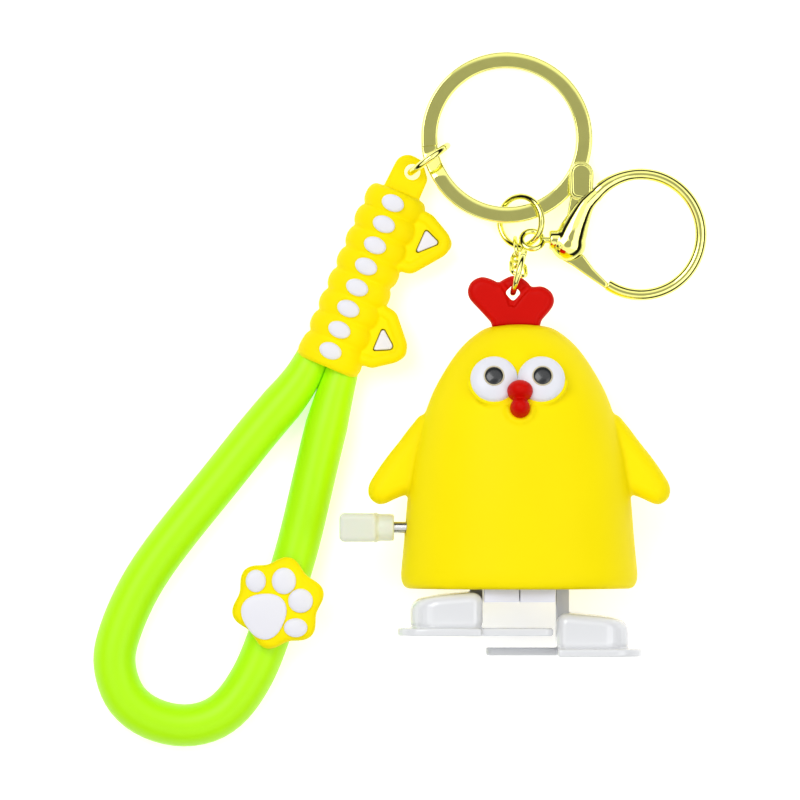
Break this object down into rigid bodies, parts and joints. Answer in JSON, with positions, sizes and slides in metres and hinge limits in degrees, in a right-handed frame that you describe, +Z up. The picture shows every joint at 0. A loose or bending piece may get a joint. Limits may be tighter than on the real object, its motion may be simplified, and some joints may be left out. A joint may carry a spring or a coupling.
{
  "type": "wind-up walking chicken key chain",
  "caption": "Wind-up yellow chicken with white feet, hung by its comb from a split key ring with a swivel clasp and a soft wrist strap with a sliding paw.",
  "frame": {"origin": "centre of the bounding box's base, measured without the wrist loop and what slides on it; the part lies flat on its back on a table", "axes": "+Y from the chicken's feet towards the key ring, +X to the right as seen from above, +Z up from the table, the way the chicken's face looks"},
  "size_m": [0.1075, 0.1219, 0.0315],
  "materials": {
    "yellow vinyl": "matte",
    "red vinyl": "matte",
    "eye white": "satin",
    "pupil black": "satin",
    "white pvc": "matte",
    "foot white": "glossy",
    "gear case": "satin",
    "leg grey": "satin",
    "knob cream": "satin",
    "wheel plastic": "satin",
    "brass": "satin",
    "steel": "satin",
    "pale gold": "polished, pale gold plating",
    "lime tube": "satin"
  },
  "bodies": {
    "chicken": {"body_shell": "yellow vinyl", "beak": "red vinyl", "left_eye": "eye white", "left_pupil": "pupil black", "right_eye": "eye white", "right_pupil": "pupil black", "comb": "red vinyl", "base_cover": "yellow vinyl", "left_base_screw": "steel", "right_base_screw": "steel", "left_gear_case": "gear case", "right_gear_case": "gear case", "front_case_screw": "steel", "back_case_screw": "steel", "mainspring": "steel", "middle_axle": "steel", "escape_axle": "steel"},
    "winding": {"winding_shaft": "steel", "winding_knob": "knob cream", "drive_gear": "brass", "ratchet_wheel": "steel", "ratchet_click": "steel"},
    "middle_wheel": {"middle_gear": "wheel plastic"},
    "crank": {"crank_shaft": "wheel plastic", "crank_gear": "wheel plastic"},
    "escapement": {"escape_wheel": "wheel plastic"},
    "pallet": {"pallet": "steel"},
    "left_leg": {"left_leg": "leg grey", "left_foot": "foot white"},
    "right_leg": {"right_leg": "leg grey", "right_foot": "foot white"},
    "comb_ring": {"comb_ring": "pale gold"},
    "chain_link_1": {"chain_link_1": "pale gold"},
    "chain_link_2": {"chain_link_2": "pale gold"},
    "chain_link_3": {"chain_link_3": "pale gold"},
    "link_ring": {"link_ring": "pale gold"},
    "key_ring": {"key_ring": "pale gold"},
    "clasp_eye": {"clasp_eye": "pale gold"},
    "clasp_body": {"clasp_body": "pale gold", "gate_pin": "steel", "gate_spring": "steel"},
    "gate": {"gate_lever": "pale gold"},
    "strap_ring": {"strap_ring": "pale gold"},
    "strap": {"grip_sleeve": "yellow vinyl", "upper_ear_inlay": "white pvc", "lower_ear_inlay": "white pvc", "loop_tube": "lime tube"},
    "paw": {"paw_slider": "yellow vinyl", "paw_pad": "white pvc", "paw_toe_1": "white pvc", "paw_toe_2": "white pvc", "paw_toe_3": "white pvc", "paw_toe_4": "white pvc"}
  },
  "joints": [
    {"name": "winding_turn", "type": "hinge", "parent": "chicken", "child": "winding", "pos_m": [0.00283, -0.03039, 0.0166], "axis": [1, 0, 0], "continuous": true},
    {"name": "middle_turn", "type": "hinge", "parent": "chicken", "child": "middle_wheel", "pos_m": [0.00283, -0.03524, 0.01018], "axis": [1, 0, 0], "continuous": true},
    {"name": "crank_turn", "type": "hinge", "parent": "chicken", "child": "crank", "pos_m": [0.00283, -0.03763, 0.0166], "axis": [1, 0, 0], "continuous": true},
    {"name": "escape_turn", "type": "hinge", "parent": "chicken", "child": "escapement", "pos_m": [0.00283, -0.03567, 0.0219], "axis": [1, 0, 0], "continuous": true},
    {"name": "pallet_rock", "type": "hinge", "parent": "chicken", "child": "pallet", "pos_m": [0.00283, -0.03293, 0.025], "axis": [1, 0, 0], "range_deg": [-5, 5]},
    {"name": "left_leg_swing", "type": "hinge", "parent": "crank", "child": "left_leg", "pos_m": [-0.00517, -0.03583, 0.0166], "axis": [1, 0, 0], "continuous": true},
    {"name": "right_leg_swing", "type": "hinge", "parent": "crank", "child": "right_leg", "pos_m": [0.01083, -0.03943, 0.0166], "axis": [1, 0, 0], "continuous": true},
    {"name": "comb_ring_swing", "type": "hinge", "parent": "chicken", "child": "comb_ring", "pos_m": [0.00175, 0.01047, 0.0158], "axis": [0, 0, 1], "range_deg": [-4, 1]},
    {"name": "link_1_swing", "type": "hinge", "parent": "comb_ring", "child": "chain_link_1", "pos_m": [0.00275, 0.01411, 0.0116], "axis": [0, 0, 1], "range_deg": [-3, 1]},
    {"name": "link_2_swing", "type": "hinge", "parent": "chain_link_1", "child": "chain_link_2", "pos_m": [0.00265, 0.01559, 0.00896], "axis": [0, 0, 1], "range_deg": [-3, 1]},
    {"name": "link_3_swing", "type": "hinge", "parent": "chain_link_2", "child": "chain_link_3", "pos_m": [0.00252, 0.01741, 0.00575], "axis": [0, 0, 1], "range_deg": [-3, 1]},
    {"name": "link_ring_swing", "type": "hinge", "parent": "chain_link_3", "child": "link_ring", "pos_m": [0.00243, 0.01881, 0.00326], "axis": [0, 0, 1], "range_deg": [-2, 1]},
    {"name": "key_ring_swing", "type": "hinge", "parent": "link_ring", "child": "key_ring", "pos_m": [0.00183, 0.02547, 0.0032], "axis": [0, 0, 1], "range_deg": [-1, 2]},
    {"name": "clasp_eye_swing", "type": "hinge", "parent": "link_ring", "child": "clasp_eye", "pos_m": [0.00553, 0.01977, 0.0049], "axis": [0, 0, 1], "range_deg": [-4, 1]},
    {"name": "clasp_swivel", "type": "hinge", "parent": "clasp_eye", "child": "clasp_body", "pos_m": [0.00517, 0.01975, 0.0051], "axis": [0.9971, 0, -0.0767], "range_deg": [0, 60]},
    {"name": "gate_pivot", "type": "hinge", "parent": "clasp_body", "child": "gate", "pos_m": [0.01135, 0.01857, 0.00462], "axis": [0.0767, 0, 0.9971], "range_deg": [0, 9], "stiffness_Nm_per_rad": 0.0002, "springref_deg": -11.46},
    {"name": "strap_ring_swing", "type": "hinge", "parent": "key_ring", "child": "strap_ring", "pos_m": [-0.01147, 0.03507, 0.00387], "axis": [0, 0, 1], "range_deg": [-3, 1]},
    {"name": "strap_swing", "type": "hinge", "parent": "strap_ring", "child": "strap", "pos_m": [-0.01576, 0.03167, 0.0034], "axis": [0, 0, 1], "range_deg": [-15, 2]},
    {"name": "paw_slide", "type": "slide", "parent": "strap", "child": "paw", "axis": [0.3189, 0.9478, 0], "range_m": [-0.003, 0.003]}
  ],
  "couplings": [
    {"joint": "winding_turn", "follows": "crank_turn", "ratio": 0.13889},
    {"joint": "middle_turn", "follows": "crank_turn", "ratio": -0.41667},
    {"joint": "escape_turn", "follows": "crank_turn", "ratio": -2.5},
    {"joint": "left_leg_swing", "follows": "crank_turn", "ratio": -1},
    {"joint": "right_leg_swing", "follows": "crank_turn", "ratio": -1}
  ]
}
